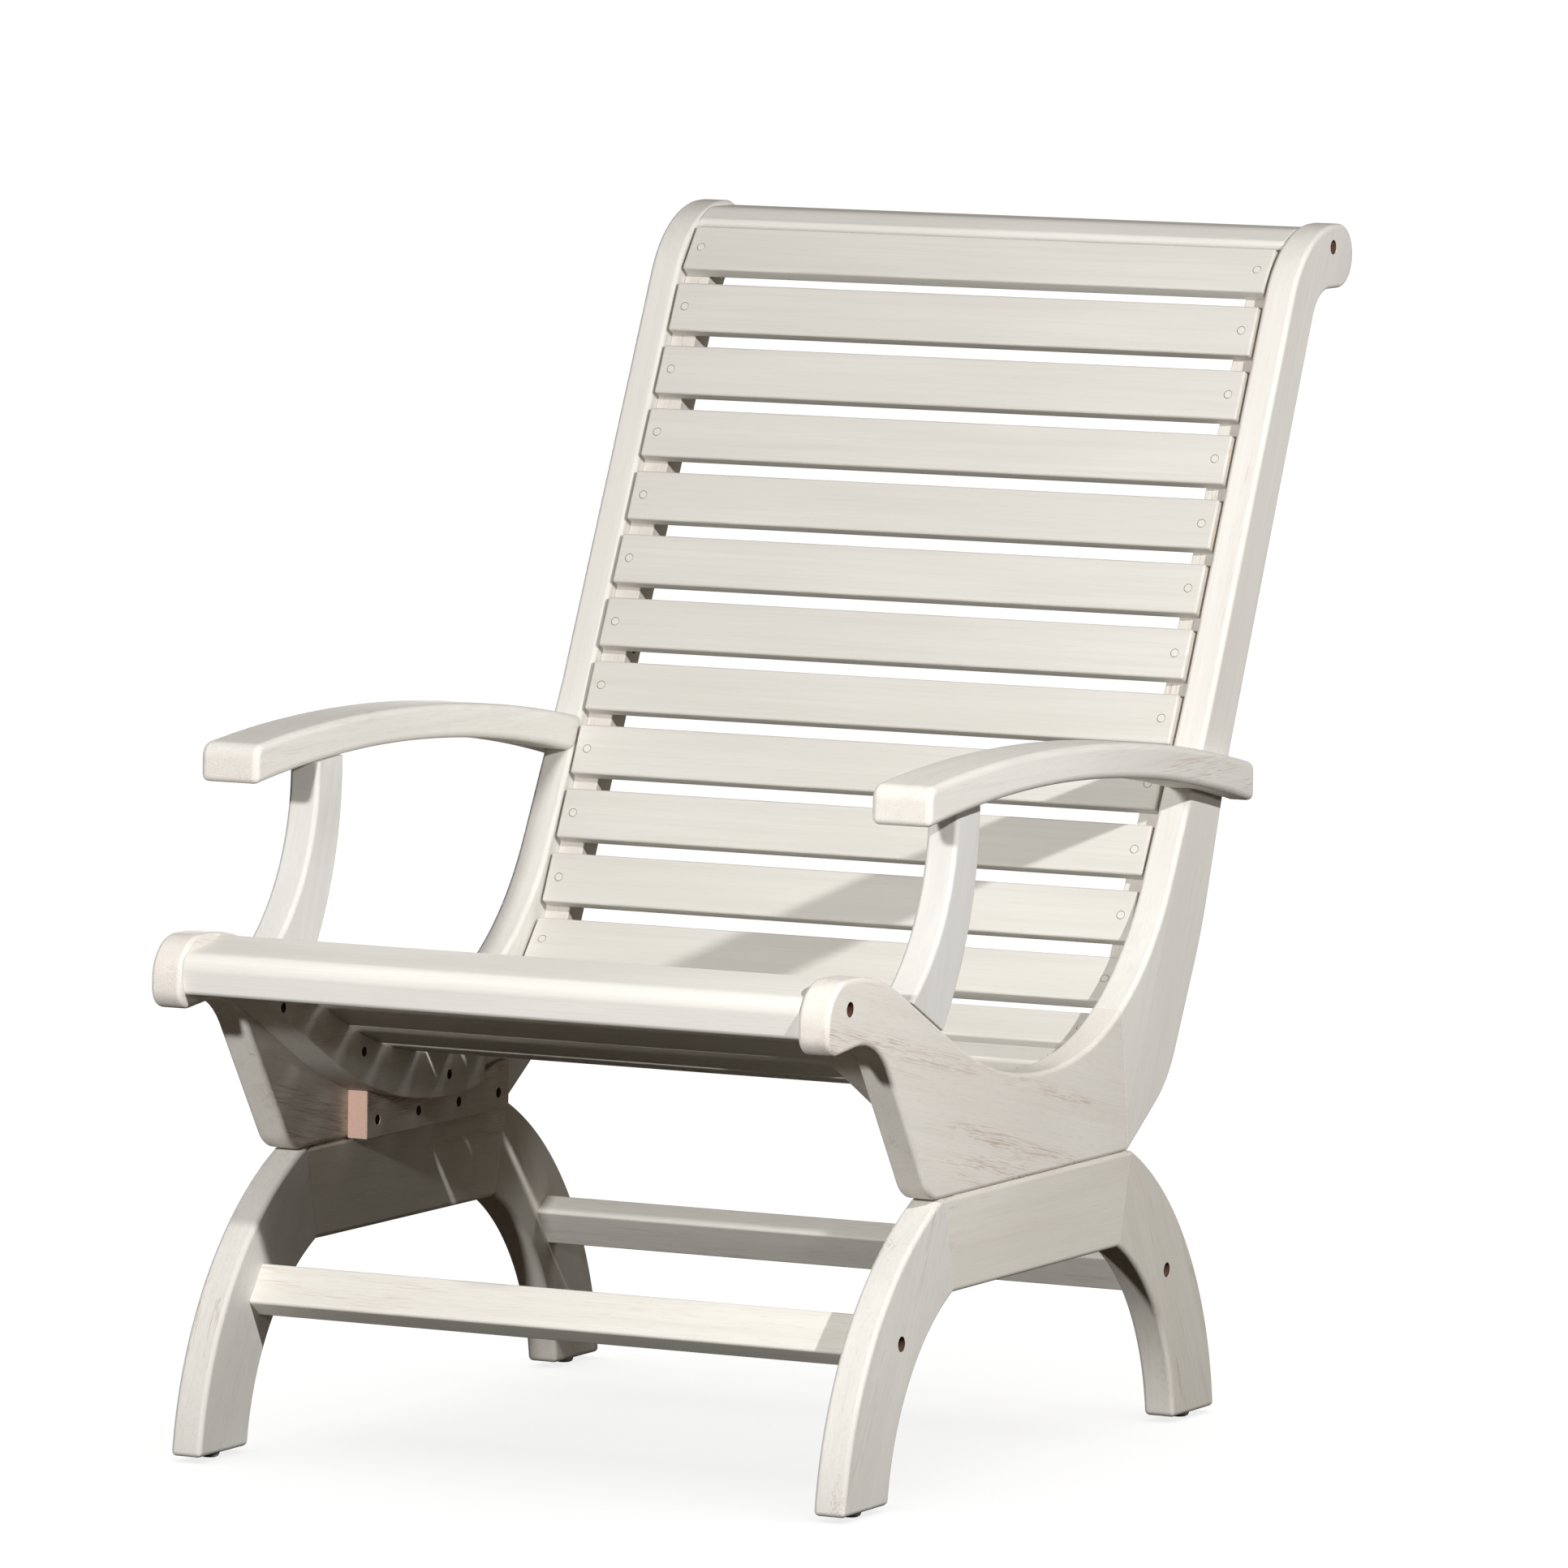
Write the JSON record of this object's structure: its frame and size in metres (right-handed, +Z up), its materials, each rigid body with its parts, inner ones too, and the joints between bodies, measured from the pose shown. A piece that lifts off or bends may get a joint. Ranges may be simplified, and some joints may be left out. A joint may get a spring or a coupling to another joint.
{
  "type": "adirondack chair",
  "caption": "Wide low garden armchair: one run of slats forms seat and back between scrolled side frames with arched arms on an arched base.",
  "frame": {"origin": "on the floor, under the centre of the chair's bounding box", "axes": "+Z up; +Y towards the rear, so the sitter faces -Y; +X to the right as seen from the front"},
  "size_m": [0.716, 1.0606, 1.069],
  "materials": {
    "frame_wood": "whitewashed hardwood, open grain, satin",
    "rail_wood": "whitewashed hardwood, open grain, satin",
    "arm_wood": "whitewashed hardwood, open grain, satin",
    "slat_wood": "whitewashed hardwood, fine grain, satin",
    "cleat_wood": "thinly whitewashed hardwood, sawn",
    "dowel_wood": "bare beech",
    "copper_screws": "copper-coloured plating, dulled",
    "glide_steel": "bright nickel"
  },
  "bodies": {
    "root": {"seat_side_left": "frame_wood", "seat_side_right": "frame_wood", "back_stile_left": "frame_wood", "back_stile_right": "frame_wood", "front_leg_left": "frame_wood", "front_leg_right": "frame_wood", "rear_leg_left": "frame_wood", "rear_leg_right": "frame_wood", "base_beam_left": "frame_wood", "base_beam_right": "frame_wood", "front_stretcher": "rail_wood", "rear_stretcher": "rail_wood", "front_rail": "rail_wood", "crest_rail": "rail_wood", "arm_left": "arm_wood", "arm_right": "arm_wood", "arm_support_left": "arm_wood", "arm_support_right": "arm_wood", "back_cleat_left": "cleat_wood", "back_cleat_right": "cleat_wood", "seat_cleat_left": "cleat_wood", "seat_cleat_right": "cleat_wood", "mounting_block_left": "cleat_wood", "mounting_block_right": "cleat_wood", "back_slat_01": "slat_wood", "back_slat_02": "slat_wood", "back_slat_03": "slat_wood", "back_slat_04": "slat_wood", "back_slat_05": "slat_wood", "back_slat_06": "slat_wood", "back_slat_07": "slat_wood", "back_slat_08": "slat_wood", "back_slat_09": "slat_wood", "back_slat_10": "slat_wood", "back_slat_11": "slat_wood", "back_slat_12": "slat_wood", "seat_slat_01": "slat_wood", "seat_slat_02": "slat_wood", "seat_slat_03": "slat_wood", "seat_slat_04": "slat_wood", "seat_slat_05": "slat_wood", "seat_slat_06": "slat_wood", "seat_slat_07": "slat_wood", "seat_slat_08": "slat_wood", "seat_slat_09": "slat_wood", "slat_screws": "copper_screws", "slat_plugs": "slat_wood", "rail_bolts": "copper_screws", "stretcher_bolts": "copper_screws", "base_bolts": "copper_screws", "block_screws": "copper_screws", "cleat_screws": "copper_screws", "arm_screws": "copper_screws", "mitre_dowels": "dowel_wood", "seam_dowels": "dowel_wood", "support_dowels": "dowel_wood", "glides": "glide_steel"}
  },
  "joints": []
}
